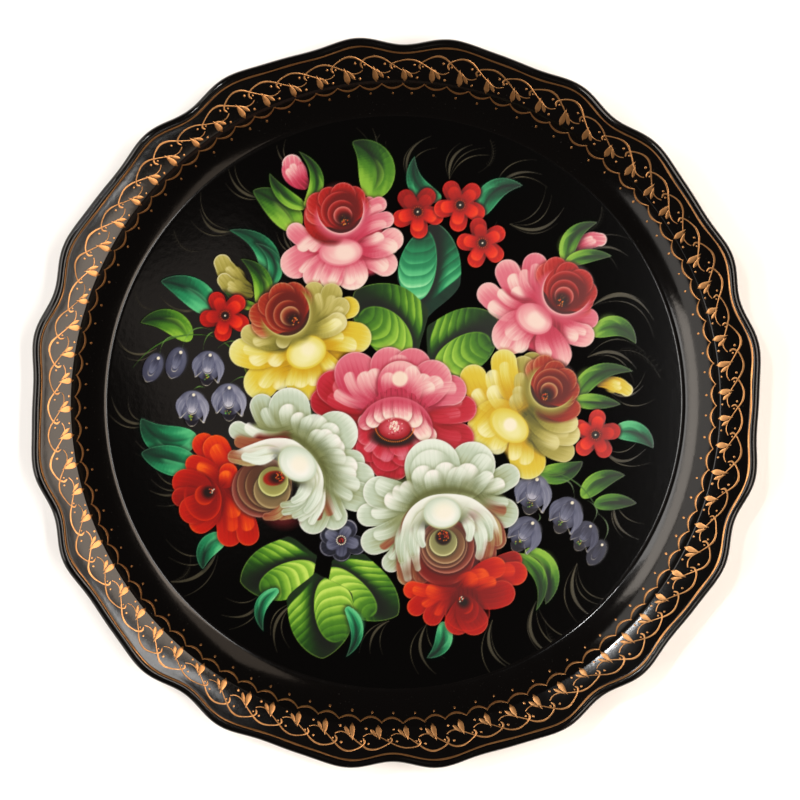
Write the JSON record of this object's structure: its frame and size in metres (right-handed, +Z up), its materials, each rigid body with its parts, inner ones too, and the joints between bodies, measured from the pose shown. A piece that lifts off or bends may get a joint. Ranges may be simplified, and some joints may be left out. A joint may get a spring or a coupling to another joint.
{
  "type": "zhostovo painted tray",
  "caption": "Round serving tray of black lacquered sheet steel with a scalloped rolled rim, a painted bouquet on its floor and a bronze rim ornament.",
  "frame": {"origin": "centre of the flat underside that the tray stands on", "axes": "+Z up out of the tray's floor, +X and +Y in the plane of the floor; +Y is the top of the painted bouquet"},
  "size_m": [0.4498, 0.4512, 0.0269],
  "materials": {
    "black_lacquer": "gloss",
    "wire_steel": "satin",
    "oil_painting": "gloss",
    "bronze_ornament": "satin"
  },
  "bodies": {
    "root": {"tray_pan": "black_lacquer", "rim_wire": "wire_steel"}
  },
  "joints": []
}
